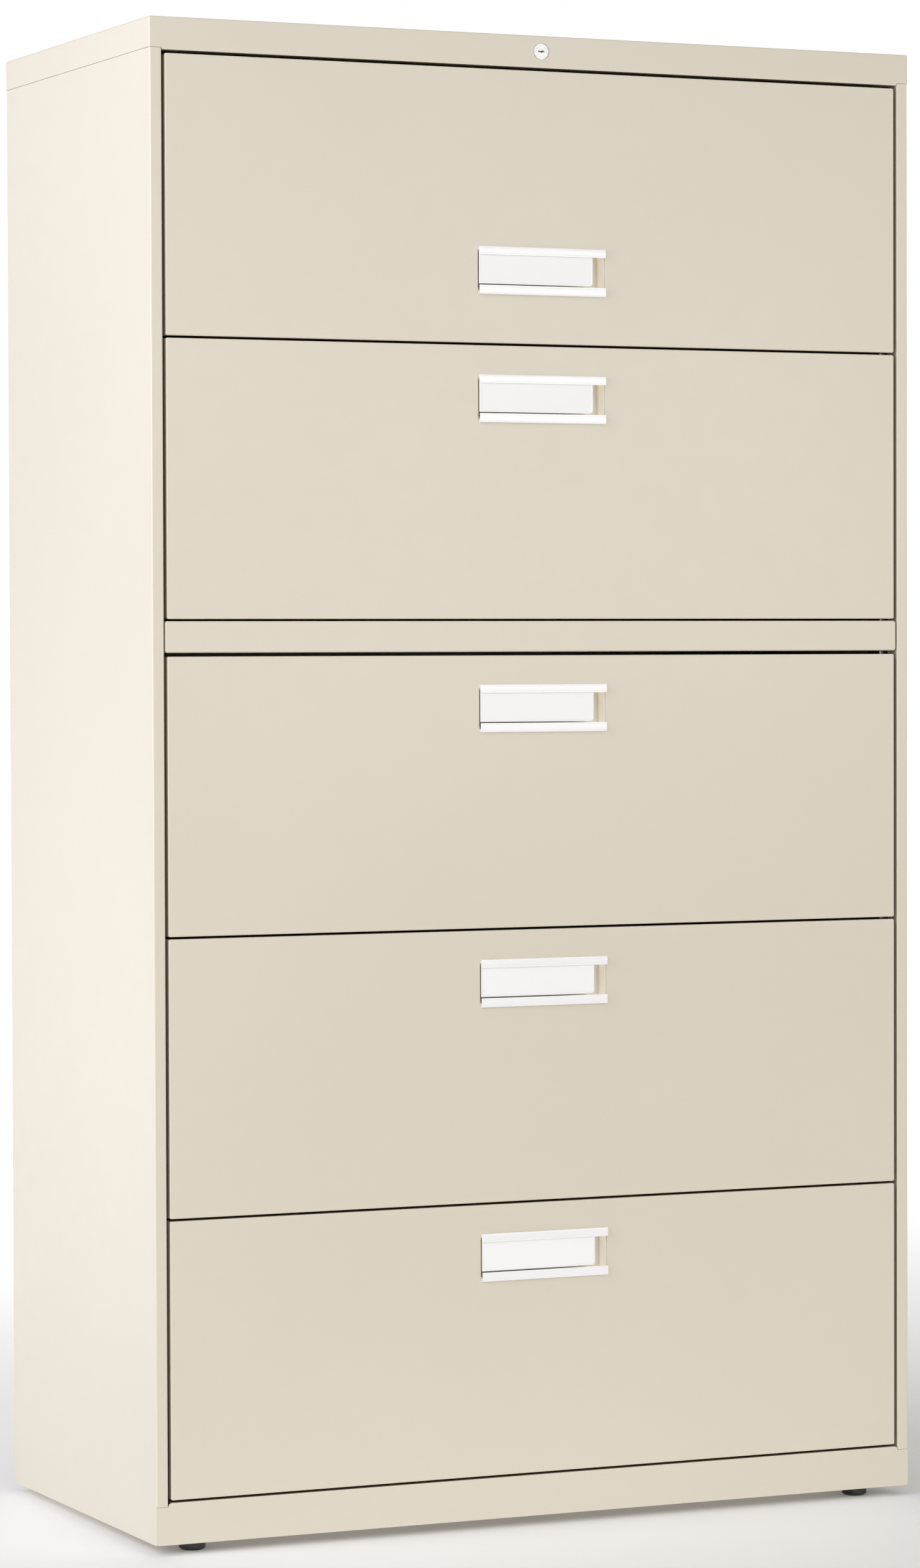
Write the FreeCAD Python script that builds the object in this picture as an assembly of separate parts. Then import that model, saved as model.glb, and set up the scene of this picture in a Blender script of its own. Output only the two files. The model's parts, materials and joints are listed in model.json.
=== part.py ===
import FreeCAD, Part
import os
from math import cos, hypot, pi, radians, sin

# Lateral filing cabinet. Millimetres, +Z up, -Y is the front.
# Origin: middle of the whole object's footprint, on the floor.

# ---------------------------------------------------------------- case
WIDTH = 914.4
DEPTH = 457.2
HEIGHT = 1631.95
PROUD = 3.6                      # pulls stand out of the fronts by this
FRONT = -(DEPTH - PROUD) / 2     # plane of the stiles and fronts
BACK = FRONT + DEPTH
HALF = WIDTH / 2
SHEET = 0.9
FOLD = 1.5                       # outside radius of a bend
SEAM = 0.3                       # open line between two panels

FOOT_GAP = 11.43                 # floor to the case's lower edge
CAP_SKIRT = 32.5
APRON = 34.8                     # the cap's front edge over the opening
CAP_LAP = 0.6                    # the cap stands out from the sides by this
SIDE = HALF - CAP_LAP            # outer face of the side panels
SIDE_IN = SIDE - SHEET
OPENING = 443.2                  # half-width between the stiles
STILE_DEEP = 19.0
BACK_FACE = BACK - 0.8           # outer face of the back panel
BACK_IN = BACK_FACE - SHEET
CAP_BOTTOM = HEIGHT - CAP_SKIRT
CEILING = HEIGHT - SHEET

RAIL_SHEET = 1.2
RAIL_TOP = 56.4
RAIL_SEAM = 52.4                 # where the stiles stand on the base rail
PAN_TOP = 25.0

# ---------------------------------------------------------------- fronts
PITCH = 300.0
FRONT_HIGH = 297.45
FIRST_BOTTOM = 58.95
SHELF_BAND = 37.25               # extra height taken by the posting shelf
FRONT_HALF = 439.5
FRONT_DEEP = 18.0
FRONT_FOLD = 1.3
FRONT_CORNER = 2.0

DRAWER_BOTTOMS = [FIRST_BOTTOM + 3 * PITCH + SHELF_BAND]
DRAWER_BOTTOMS += [FIRST_BOTTOM + level * PITCH for level in (2, 1, 0)]
DOOR_BOTTOM = DRAWER_BOTTOMS[0] + PITCH
DOOR_TOP = DOOR_BOTTOM + FRONT_HIGH

# ---------------------------------------------------------------- pulls
PULL_HALF = 76.2
PULL_HIGH = 52.5
UPPER_RAIL = 9.5
LOWER_RAIL = 10.3
PULL_WALL = 1.0
PULL_LAP = 4.0                   # each rail laps the sheet by this
PULL_DROP = 31.5                 # drawer front's top edge to the pull
DOOR_PULL_RISE = 52.7            # door's lower edge to the pull
RECESS_DEEP = 20.0
RECESS_CORNER = 4.0
LABEL_RIGHT = 60.6
LABEL_THICK = 0.8
LABEL_GAP = 1.2                  # open line under the label
LABEL_CORNER = 4.0

# ---------------------------------------------------------------- trays
TRAY_HALF = 425.0
TRAY_RISE = 8.0                  # front's lower edge to the tray's floor
TRAY_HIGH = 245.0
TRAY_BACK = 194.0
TRAY_RIM = 5.0
INNER_WALL = FRONT + 22.0        # wall behind the finger recess

# ---------------------------------------------------------------- slides
SLIDE_LONG = 400.0
SLIDE_FRONT = FRONT + 26.0
SLIDE_OUTER = 437.7
SLIDE_WALL = 1.3
SLIDE_RISE = 58.0                # front's lower edge to the slide's middle
DRAWER_SLIDE = (22.5, 18.2, 13.5)
SHELF_SLIDE = (15.0, 11.5, 8.0)
SHELF_RISE = 19.0

POST_FRONT = (-196.0, -166.0)
POST_REAR = (150.0, 180.0)
POST_TOP = 1440.0

# ---------------------------------------------------------------- receding door
PIVOT_Y = FRONT + 12.0
PIVOT_Z = DOOR_TOP - 10.0
PIN_R = 3.0
RUNNING = 0.05                   # radial clearance of a running fit
ARM_X = 428.0
ARM_THICK = 3.0
EAR_X = 433.0
EAR_THICK = 3.0
ROLLER_R = 7.0
TRACK_IN = 444.5
TRACK_HALF = 9.0
TRACK_ENDS = (-196.0, 205.0)
SHAFT_Y = PIVOT_Y + 30.0
SHAFT_R = 4.0

# ---------------------------------------------------------------- shelves
SHELF_FRONT = -198.0
SHELF_LIP = 20.0
POSTING_BOTTOM = 960.3
POSTING_TOP = 994.0
POSTING_HALF = 442.0
POSTING_NOSE = 20.0
BOARD_HALF = 435.5
BOARD_BOTTOM = 968.0
BOARD_TOP = 986.0
BOARD_BACK = 190.0

# ---------------------------------------------------------------- lock
LOCK_Z = 1615.0
LOCK_FACE = FRONT - 0.6
COLLAR_R = 8.6
COLLAR_HOLE = 9.1
PLUG_R = 6.2
CRANK_R = 8.0
CRANK_PIN = 1.5
LOCK_THROW = 2 * CRANK_R * sin(radians(45))
ROD_Y = FRONT + 29.0
ROD_THICK = 2.0
ROD_LOW = 1620.0
ROD_HIGH = 1628.0
BAR_X = (444.8, 453.0)
BAR_Y = (-205.5, -202.5)
BAR_PIN = (432.0, 1606.5)        # x and z of the pin in the rod's slot
BAR_PIN_R = 2.0
BAR_BOTTOM = 150.0
TAB_RISE = 230.0

# ---------------------------------------------------------------- glides
GLIDE_X = 404.0
GLIDE_Y = (FRONT + 31.0, BACK_FACE - 31.0)
GLIDE_R = 16.0
GLIDE_HIGH = 10.9
STEM_R = 4.0
STEM_TOP = 40.0

V = FreeCAD.Vector
ALONG_X = V(1, 0, 0)
ALONG_Y = V(0, 1, 0)
ALONG_Z = V(0, 0, 1)


# ================================================================ helpers
def box(x, y, z):
    """A block between the pairs x, y and z."""
    return Part.makeBox(x[1] - x[0], y[1] - y[0], z[1] - z[0], V(x[0], y[0], z[0]))


def rod(radius, start, axis, length):
    return Part.makeCylinder(radius, length, V(*start), axis)


def group(solids):
    return Part.makeCompound(solids)


def mirrored(shape):
    """The same piece on the cabinet's other side."""
    return shape.mirror(V(0, 0, 0), ALONG_X)


def both_sides(shape):
    return group([shape, mirrored(shape)])


def unit(a, b):
    length = hypot(b[0] - a[0], b[1] - a[1])
    return ((b[0] - a[0]) / length, (b[1] - a[1]) / length)


def outline(corners, place):
    """A closed face through corners (u, v, radius); place turns u, v into a vector."""
    edges = []
    starts = []
    ends = []
    count = len(corners)
    for i, (u, v, radius) in enumerate(corners):
        back = unit((u, v), corners[i - 1])
        ahead = unit((u, v), corners[(i + 1) % count])
        if radius <= 0:
            starts.append((u, v))
            ends.append((u, v))
            continue
        dot = back[0] * ahead[0] + back[1] * ahead[1]
        half_tan = ((1 - dot) / (1 + dot)) ** 0.5
        reach = radius / half_tan
        first = (u + back[0] * reach, v + back[1] * reach)
        last = (u + ahead[0] * reach, v + ahead[1] * reach)
        away = unit((0, 0), (back[0] + ahead[0], back[1] + ahead[1]))
        to_centre = hypot(radius, reach)
        middle = (u + away[0] * (to_centre - radius), v + away[1] * (to_centre - radius))
        edges.append((i, Part.Arc(place(*first), place(*middle), place(*last)).toShape()))
        starts.append(first)
        ends.append(last)
    arcs = dict(edges)
    loop = []
    for i in range(count):
        if i in arcs:
            loop.append(arcs[i])
        nxt = (i + 1) % count
        if hypot(starts[nxt][0] - ends[i][0], starts[nxt][1] - ends[i][1]) > 1e-6:
            loop.append(Part.makeLine(place(*ends[i]), place(*starts[nxt])))
    return Part.Face(Part.Wire(Part.__sortEdges__(loop)))


def folded(path, thick, radius, place, sweep):
    """Sheet bent along path; the sheet lies on the left of the path."""
    last = len(path) - 1
    left = []
    turns = []
    for i, point in enumerate(path):
        before = unit(path[i - 1], point) if i else unit(point, path[1])
        after = unit(point, path[i + 1]) if i < last else before
        normals = (-before[1] - after[1], before[0] + after[0])
        scale = 2 * thick / (normals[0] ** 2 + normals[1] ** 2)
        left.append((point[0] + normals[0] * scale, point[1] + normals[1] * scale))
        turns.append(before[0] * after[1] - before[1] * after[0])
    corners = []
    for point, turn in zip(path, turns):
        bend = 0 if abs(turn) < 1e-9 else (radius if turn > 0 else radius - thick)
        corners.append((point[0], point[1], max(bend, 0)))
    for point, turn in zip(reversed(left), reversed(turns)):
        bend = 0 if abs(turn) < 1e-9 else (radius - thick if turn > 0 else radius)
        corners.append((point[0], point[1], max(bend, 0)))
    return outline(corners, place).extrude(sweep)


def plan(z):
    """Places an x, y outline at height z."""
    return lambda u, v: V(u, v, z)


def elevation(y):
    """Places an x, z outline on the plane y."""
    return lambda u, v: V(u, y, v)


def profile(x):
    """Places a y, z outline on the plane x."""
    return lambda u, v: V(x, u, v)


def is_edge(edge, low, high):
    """True if the edge's box lies inside the box from low to high."""
    b = edge.BoundBox
    inside = b.XMin >= low[0] and b.YMin >= low[1] and b.ZMin >= low[2]
    return inside and b.XMax <= high[0] and b.YMax <= high[1] and b.ZMax <= high[2]


def rounded(shape, radius, low, high):
    """Rounds every edge that lies inside the box from low to high."""
    picked = [edge for edge in shape.Edges if is_edge(edge, low, high)]
    return shape.makeFillet(radius, picked)


def along_y(shape):
    """The edges of a block that run front to back."""
    picked = []
    for edge in shape.Edges:
        b = edge.BoundBox
        if b.XLength < 1e-3 and b.ZLength < 1e-3:
            picked.append(edge)
    return picked


def upright(shape, x):
    """The vertical edges of a block at x and -x."""
    picked = []
    for edge in shape.Edges:
        b = edge.BoundBox
        if b.XLength < 1e-3 and b.YLength < 1e-3 and abs(abs(b.XMin) - x) < 1e-3:
            picked.append(edge)
    return picked


# ================================================================ case
def side_panel():
    """Right side: wall, front stile with its return, and rear flange."""
    path = [(OPENING + 9.0, FRONT + STILE_DEEP), (OPENING, FRONT + STILE_DEEP), (OPENING, FRONT)]
    path += [(SIDE, FRONT), (SIDE, BACK_IN), (SIDE - 16.0, BACK_IN)]
    tall = CAP_BOTTOM - SEAM - RAIL_SEAM - SEAM
    wall = folded(path, SHEET, FOLD, plan(RAIL_SEAM + SEAM), V(0, 0, tall))
    foot_path = [(SIDE, FRONT + RAIL_SHEET), (SIDE, BACK_IN), (SIDE - 16.0, BACK_IN)]
    foot_high = RAIL_SEAM + SEAM - FOOT_GAP
    foot = folded(foot_path, SHEET, FOLD, plan(FOOT_GAP), V(0, 0, foot_high))
    hem = box((SIDE - 20.0, SIDE_IN), (FRONT + 24.0, BACK_IN - 2.0), (FOOT_GAP, FOOT_GAP + SHEET))
    deep = (FRONT + 25.0, BACK_IN - 5.0)
    tongue = box((SIDE_IN - SHEET, SIDE_IN + 0.2), deep, (CAP_BOTTOM - 14.0, CEILING))
    return wall.fuse([foot, hem, tongue]).removeSplitter()


def back_panel():
    sheet = box((-SIDE + 0.4, SIDE - 0.4), (BACK_IN, BACK_FACE), (FOOT_GAP, CAP_BOTTOM - SEAM))
    ribs = []
    for z in (430.0, 820.0, 1210.0):
        ribs.append(box((-380.0, 380.0), (BACK_IN - 1.5, BACK_IN), (z, z + 24.0)))
    return sheet.fuse(ribs).removeSplitter()


def top_cap():
    apron = [(-HALF, CAP_BOTTOM, 0), (-OPENING, CAP_BOTTOM, 0), (-OPENING, HEIGHT - APRON, 2.0)]
    apron += [(OPENING, HEIGHT - APRON, 2.0), (OPENING, CAP_BOTTOM, 0), (HALF, CAP_BOTTOM, 0)]
    apron += [(HALF, HEIGHT, 0), (-HALF, HEIGHT, 0)]
    drop = outline(apron, elevation(FRONT)).extrude(V(0, DEPTH, 0))
    drop = drop.makeFillet(FOLD, upright(drop, HALF))
    far = 2 * HEIGHT
    drop = rounded(drop, FOLD, (-far, -far, HEIGHT - 1e-3), (far, far, HEIGHT + 1e-3))
    inside = box((-HALF + SHEET, HALF - SHEET), (FRONT + SHEET, BACK - SHEET), (CAP_BOTTOM - 9.0, CEILING))
    shell = drop.cut(inside)
    low = HEIGHT - APRON
    lip = box((-OPENING + 1.0, OPENING - 1.0), (FRONT + 0.5, FRONT + FRONT_DEEP), (low, low + SHEET))
    hole = rod(COLLAR_HOLE, (0, FRONT - 1, LOCK_Z), ALONG_Y, 3.0)
    rear_lip = box((-SIDE, SIDE), (BACK - 4.0, BACK + 1.0), (CAP_BOTTOM - 9.0, CAP_BOTTOM))
    return shell.fuse(lip).cut(group([hole, rear_lip])).removeSplitter()


def base_front_rail():
    edge = OPENING - 0.3
    shape = [(-SIDE, FOOT_GAP, 3.5), (SIDE, FOOT_GAP, 3.5), (SIDE, RAIL_SEAM, 0), (edge, RAIL_SEAM, 0)]
    shape += [(edge, RAIL_TOP, 3.9), (-edge, RAIL_TOP, 3.9), (-edge, RAIL_SEAM, 0), (-SIDE, RAIL_SEAM, 0)]
    face = outline(shape, elevation(FRONT)).extrude(V(0, RAIL_SHEET, 0))
    reach = edge - 4.5
    shelf = box((-reach, reach), (FRONT + 0.5, FRONT + 20.0), (RAIL_TOP - RAIL_SHEET, RAIL_TOP))
    hem = box((-435.0, 435.0), (FRONT + 0.5, FRONT + 14.0), (FOOT_GAP, FOOT_GAP + RAIL_SHEET))
    return face.fuse([shelf, hem]).removeSplitter()


def bottom_pan():
    floor = box((-SIDE_IN, SIDE_IN), (FRONT + RAIL_SHEET, BACK_IN - 2 * SHEET), (PAN_TOP - SHEET, PAN_TOP))
    side = box((SIDE_IN - SHEET, SIDE_IN), (FRONT + 22.0, BACK_IN - 18.0), (PAN_TOP - SHEET, PAN_TOP + 14.0))
    holes = [rod(6.0, (x, y, PAN_TOP - 5), ALONG_Z, 10.0) for x in (-GLIDE_X, GLIDE_X) for y in GLIDE_Y]
    return floor.fuse([side, mirrored(side)]).cut(holes).removeSplitter()


def slide_posts():
    """Four channels; each web carries the slides and both legs reach the side wall."""
    posts = []
    for near, far in (POST_FRONT, POST_REAR):
        path = [(SIDE_IN, near), (SLIDE_OUTER, near), (SLIDE_OUTER, far), (SIDE_IN, far)]
        path.reverse()
        post = folded(path, 1.5, 2.0, plan(PAN_TOP + 14.5), V(0, 0, POST_TOP - PAN_TOP - 14.5))
        posts += [post, mirrored(post)]
    return group(posts)


def channel(web, lip, middle, half_high, thick):
    """C-section slide member; web and lip are the x of its back and of its lips."""
    path = [(lip, middle + half_high), (web, middle + half_high)]
    path += [(web, middle - half_high), (lip, middle - half_high)]
    if web < lip:
        path.reverse()
    path.reverse()
    sweep = V(0, SLIDE_LONG, 0)
    return folded(path, thick, thick + 0.5, elevation(SLIDE_FRONT), sweep)


def case_member(middle, halves):
    return channel(SLIDE_OUTER, SLIDE_OUTER - 8.0, middle, halves[0], SLIDE_WALL)


def middle_member(middle, halves):
    return channel(SLIDE_OUTER - 2.1, SLIDE_OUTER - 9.1, middle, halves[1], SLIDE_WALL)


def inner_member(middle, halves):
    return channel(TRAY_HALF, TRAY_HALF + 7.9, middle, halves[2], SLIDE_WALL)


def case_slides():
    members = []
    for bottom in DRAWER_BOTTOMS:
        member = case_member(bottom + SLIDE_RISE, DRAWER_SLIDE)
        members += [member, mirrored(member)]
    member = case_member(DOOR_BOTTOM + SHELF_RISE, SHELF_SLIDE)
    return group(members + [member, mirrored(member)])


def posting_shelf_guides():
    low = BOARD_BOTTOM - 2.2
    high = BOARD_TOP + 2.2
    path = [(431.0, low), (SLIDE_OUTER, low), (SLIDE_OUTER, high), (431.0, high)]
    return both_sides(folded(path, 1.2, 1.5, elevation(SLIDE_FRONT), V(0, SLIDE_LONG, 0)))


def door_tracks():
    path = [(TRACK_IN, PIVOT_Z - TRACK_HALF), (SIDE_IN - SHEET, PIVOT_Z - TRACK_HALF)]
    path += [(SIDE_IN - SHEET, PIVOT_Z + TRACK_HALF), (TRACK_IN, PIVOT_Z + TRACK_HALF)]
    long = TRACK_ENDS[1] - TRACK_ENDS[0]
    track = folded(path, 1.2, 1.5, elevation(TRACK_ENDS[0]), V(0, long, 0))
    spacer = box((SIDE_IN - SHEET, SIDE_IN), TRACK_ENDS, (PIVOT_Z - TRACK_HALF, CAP_BOTTOM - 14.5))
    return both_sides(track.fuse(spacer).removeSplitter())


def counterweight():
    slab = box((-350.0, 350.0), (60.0, 200.0), (PAN_TOP, PAN_TOP + 20.0))
    return slab.makeFillet(3.0, [edge for edge in slab.Edges if edge.BoundBox.ZLength > 10])


def domed_head(x, z):
    """Rivet head on the back panel."""
    head = rod(3.6, (x, BACK_FACE, z), ALONG_Y, BACK - BACK_FACE)
    low = (x - 9, BACK - 1e-3, z - 9)
    return rounded(head, 0.5, low, (x + 9, BACK + 1e-3, z + 9))


def case_screws():
    heads = []
    steps = 7
    bottom = 40.0
    for i in range(steps):
        z = bottom + i * (CAP_BOTTOM - 30.0 - bottom) / (steps - 1)
        heads += [domed_head(-SIDE + 9.0, z), domed_head(SIDE - 9.0, z)]
    for x in (-300.0, 0.0, 300.0):
        heads.append(domed_head(x, 18.5))
    return group(heads)


def glide_brackets():
    brackets = []
    low = FOOT_GAP + RAIL_SHEET + 0.2
    for x in (-GLIDE_X, GLIDE_X):
        for y in GLIDE_Y:
            plate = box((x - 25.0, x + 25.0), (y - 24.0, y + 24.0), (PAN_TOP - SHEET - 3.0, PAN_TOP - SHEET))
            boss = rod(8.0, (x, y, low), ALONG_Z, PAN_TOP - SHEET - low)
            hole = rod(STEM_R + RUNNING, (x, y, low - 1), ALONG_Z, 20.0)
            brackets.append(plate.fuse(boss).cut(hole))
    return group(brackets)


# ================================================================ fronts
def pull_range(bottom, is_door):
    """Lowest and highest z of the pull on a front."""
    low = bottom + DOOR_PULL_RISE if is_door else bottom + FRONT_HIGH - PULL_DROP - PULL_HIGH
    return low, low + PULL_HIGH


def folded_front(bottom, is_door):
    """Pan-shaped front with rounded folds and a drawn finger recess."""
    top = bottom + FRONT_HIGH
    pan = box((-FRONT_HALF, FRONT_HALF), (FRONT, FRONT + FRONT_DEEP), (bottom, top))
    pan = pan.makeFillet(FRONT_CORNER, along_y(pan))
    far = 2 * HEIGHT
    pan = rounded(pan, FRONT_FOLD, (-far, FRONT - 1e-3, -far), (far, FRONT + 1e-3, far))
    inside = FRONT_HALF - SHEET
    rear = FRONT + FRONT_DEEP + 1
    hollow = box((-inside, inside), (FRONT + SHEET, rear), (bottom + SHEET, top - SHEET))
    low, high = pull_range(bottom, is_door)
    low += PULL_LAP
    high -= PULL_LAP
    floor = FRONT + RECESS_DEEP
    wide = PULL_HALF + SHEET
    cup = box((-wide, wide), (FRONT + 0.5, floor + SHEET), (low - SHEET, high + SHEET))
    cup = cup.makeFillet(RECESS_CORNER + SHEET, along_y(cup))
    recess = box((-PULL_HALF, PULL_HALF), (FRONT - 1, floor), (low, high))
    recess = recess.makeFillet(RECESS_CORNER, along_y(recess))
    recess = rounded(recess, 2.0, (-far, floor - 1e-3, -far), (far, floor + 1e-3, far))
    front = pan.cut(hollow).fuse(cup).cut(recess)
    reach = (PULL_HALF + 0.1, FRONT + 1e-3, high + 0.1)
    return rounded(front, 0.7, (-reach[0], FRONT - 1e-3, low - 0.1), reach)


def pull(bottom, is_door):
    """Upper and lower grip rails, each an open hook of extruded aluminium."""
    low, high = pull_range(bottom, is_door)
    face = FRONT - PROUD
    sweep = V(2 * PULL_HALF, 0, 0)
    upper = [(face, high - UPPER_RAIL), (face, high), (FRONT, high), (FRONT, high - PULL_LAP)]
    lower = [(FRONT, low + PULL_LAP), (FRONT, low), (face, low), (face, low + LOWER_RAIL)]
    upper.reverse()
    lower.reverse()
    rails = []
    for path in (upper, lower):
        rails.append(folded(path, PULL_WALL, 1.4, profile(-PULL_HALF), sweep))
    return group(rails)


def label(bottom, is_door):
    low, high = pull_range(bottom, is_door)
    left = -PULL_HALF
    foot = low + LOWER_RAIL + LABEL_GAP
    head = high - 1.6
    card = [(left, foot, 0.6), (LABEL_RIGHT, foot, LABEL_CORNER), (LABEL_RIGHT, head, 0.6), (left, head, 0.6)]
    return outline(card, elevation(FRONT - 2.2)).extrude(V(0, LABEL_THICK, 0))


# ================================================================ drawers
def tray(bottom):
    """Open-topped tray whose side walls reach forward into the front."""
    floor = bottom + TRAY_RISE
    top = floor + TRAY_HIGH
    inside = TRAY_HALF - SHEET
    shell = box((-TRAY_HALF, TRAY_HALF), (INNER_WALL, TRAY_BACK), (floor, top))
    hollow = box((-inside, inside), (INNER_WALL + SHEET, TRAY_BACK - SHEET), (floor + SHEET, top + 1))
    outer = TRAY_HALF + TRAY_RIM
    rim = box((-outer, outer), (INNER_WALL, TRAY_BACK + TRAY_RIM), (top - SHEET, top))
    rim = rim.cut(box((-inside, inside), (INNER_WALL - 1, TRAY_BACK - SHEET), (top - 5, top + 1)))
    wing = box((inside, TRAY_HALF), (FRONT + SHEET, INNER_WALL), (floor, top))
    apron = box((-TRAY_HALF, TRAY_HALF), (FRONT + SHEET, INNER_WALL), (floor, floor + SHEET))
    return shell.cut(hollow).fuse([rim, wing, mirrored(wing), apron]).removeSplitter()


def file_rails(bottom):
    """Two hanging-folder rails, along the tray's front and back walls."""
    level = bottom + TRAY_RISE + TRAY_HIGH - 14.0
    inside = TRAY_HALF - SHEET
    rear_wall = TRAY_BACK - SHEET
    front_wall = INNER_WALL + SHEET
    rear = [(rear_wall - 8.0, level + 12.0), (rear_wall - 8.0, level), (rear_wall, level)]
    front = [(front_wall, level), (front_wall + 8.0, level), (front_wall + 8.0, level + 12.0)]
    sweep = V(2 * inside, 0, 0)
    return group([folded(path, 1.5, 2.0, profile(-inside), sweep) for path in (rear, front)])


def inner_slides(bottom):
    return both_sides(inner_member(bottom + SLIDE_RISE, DRAWER_SLIDE))


def middle_slides(bottom):
    return both_sides(middle_member(bottom + SLIDE_RISE, DRAWER_SLIDE))


# ================================================================ receding door
def door_panel():
    """Folded door with a hinge ear at each upper corner."""
    door = folded_front(DOOR_BOTTOM, True)
    rear = FRONT + FRONT_DEEP
    notch = box((ARM_X - 4.0, EAR_X - 0.5), (FRONT + 3.0, rear + 1), (DOOR_TOP - 3.0, DOOR_TOP + 1))
    ear = box((EAR_X, EAR_X + EAR_THICK), (FRONT + SHEET, rear - 1.0), (PIVOT_Z - 9.0, PIVOT_Z + 7.0))
    hole = rod(PIN_R + RUNNING, (EAR_X - 1, PIVOT_Y, PIVOT_Z), ALONG_X, EAR_THICK + 2)
    ear = ear.cut(hole)
    return door.cut([notch, mirrored(notch)]).fuse([ear, mirrored(ear)])


def door_carriage():
    """Hinge arm with its pin, and two rollers on stub axles, on each side."""
    low = PIVOT_Z - 6.0
    high = PIVOT_Z + 6.0
    tip = PIVOT_Y - 6.0
    tail = PIVOT_Y + 66.0
    shape = [(tip, low, 5.9), (tail, low, 3.0), (tail, high, 3.0), (tip, high, 5.9)]
    arm = outline(shape, profile(ARM_X)).extrude(V(ARM_THICK, 0, 0))
    outer = ARM_X + ARM_THICK
    pieces = [rod(PIN_R, (outer - 0.5, PIVOT_Y, PIVOT_Z), ALONG_X, 6.5)]
    for y in (PIVOT_Y + 35.0, PIVOT_Y + 58.0):
        pieces.append(rod(3.0, (outer - 0.5, y, PIVOT_Z), ALONG_X, 16.5))
        pieces.append(rod(ROLLER_R, (outer + 15.0, y, PIVOT_Z), ALONG_X, 6.0))
    return both_sides(arm.fuse(pieces))


def door_tie_shaft():
    return rod(SHAFT_R, (-ARM_X, SHAFT_Y, PIVOT_Z), ALONG_X, 2 * ARM_X)


# ================================================================ shelves
def shelf_tray():
    """Roll-out shelf: flat floor with a low lip all round."""
    low = DOOR_BOTTOM + TRAY_RISE
    high = low + SHELF_LIP
    inside = TRAY_HALF - SHEET
    shell = box((-TRAY_HALF, TRAY_HALF), (SHELF_FRONT, TRAY_BACK), (low, high))
    hollow = box((-inside, inside), (SHELF_FRONT + SHEET, TRAY_BACK - SHEET), (low + SHEET, high + 1))
    far = 2 * HEIGHT
    shell = rounded(shell, FOLD, (-far, -far, low - 1e-3), (far, far, low + 1e-3))
    return shell.cut(hollow)


def posting_shelf():
    """Work shelf: a folded nose with a shallow folded board behind it."""
    nose = box((-POSTING_HALF, POSTING_HALF), (FRONT, FRONT + POSTING_NOSE), (POSTING_BOTTOM, POSTING_TOP))
    nose = nose.makeFillet(3.0, along_y(nose))
    far = 2 * HEIGHT
    nose = rounded(nose, 2.0, (-far, FRONT - 1e-3, -far), (far, FRONT + 1e-3, far))
    hollow = box((-POSTING_HALF + SHEET, POSTING_HALF - SHEET), (FRONT + SHEET, FRONT + POSTING_NOSE - SHEET),
                 (POSTING_BOTTOM + SHEET, POSTING_TOP - SHEET))
    slot = box((-POSTING_HALF + 20.0, POSTING_HALF - 20.0), (FRONT + 5.0, FRONT + POSTING_NOSE + 1),
               (POSTING_BOTTOM - 1, BOARD_BOTTOM))
    rear = FRONT + POSTING_NOSE - SHEET
    board = box((-BOARD_HALF, BOARD_HALF), (rear, BOARD_BACK), (BOARD_BOTTOM, BOARD_TOP))
    under = box((-BOARD_HALF + SHEET, BOARD_HALF - SHEET), (rear + SHEET, BOARD_BACK - SHEET),
                (BOARD_BOTTOM - 1, BOARD_TOP - SHEET))
    return nose.cut(hollow).cut(slot).fuse(board.cut(under)).removeSplitter()


# ================================================================ lock
def lock_housing():
    collar = rod(COLLAR_R, (0, LOCK_FACE, LOCK_Z), ALONG_Y, 2.0)
    low = (-9, LOCK_FACE - 1e-3, LOCK_Z - 9)
    collar = rounded(collar, 0.4, low, (9, LOCK_FACE + 1e-3, LOCK_Z + 9))
    flange = rod(12.0, (0, FRONT + SHEET, LOCK_Z), ALONG_Y, 2.0)
    barrel = rod(8.0, (0, FRONT + SHEET, LOCK_Z), ALONG_Y, 23.0)
    bore = rod(PLUG_R + RUNNING, (0, FRONT - 5, LOCK_Z), ALONG_Y, 40.0)
    return collar.fuse([flange, barrel]).cut(bore).removeSplitter()


def keyway():
    """Stepped slot for a flat key, lying across the plug."""
    half = 0.65
    ward = half + 0.7
    shape = [(-3.9, -half), (-1.2, -half), (-0.6, -ward), (0.8, -ward), (1.4, -half), (3.9, -half)]
    shape += [(3.9, half), (2.6, half), (2.0, ward), (1.0, ward), (0.4, half), (-3.9, half)]
    corners = [(x, LOCK_Z + z, 0) for x, z in shape]
    return outline(corners, elevation(LOCK_FACE - 1)).extrude(V(0, 16.0, 0))


def lock_plug():
    """Key plug with a crank arm and pin behind the housing."""
    plug = rod(PLUG_R, (0, LOCK_FACE, LOCK_Z), ALONG_Y, 25.4)
    plug = plug.cut(keyway())
    back = FRONT + 24.8
    lean = radians(45)
    pin_x = -CRANK_R * sin(lean)
    pin_z = LOCK_Z + CRANK_R * cos(lean)
    arm = box((-2.5, 2.5), (back, back + 2.5), (LOCK_Z, LOCK_Z + CRANK_R))
    arm.rotate(V(0, 0, LOCK_Z), ALONG_Y, -45)
    tip = rod(2.5, (pin_x, back, pin_z), ALONG_Y, 2.5)
    hub = rod(5.0, (0, back - 0.5, LOCK_Z), ALONG_Y, 3.0)
    pin = rod(CRANK_PIN, (pin_x, back, pin_z), ALONG_Y, 7.0)
    return plug.fuse([arm, tip, hub, pin]).removeSplitter()


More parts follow.
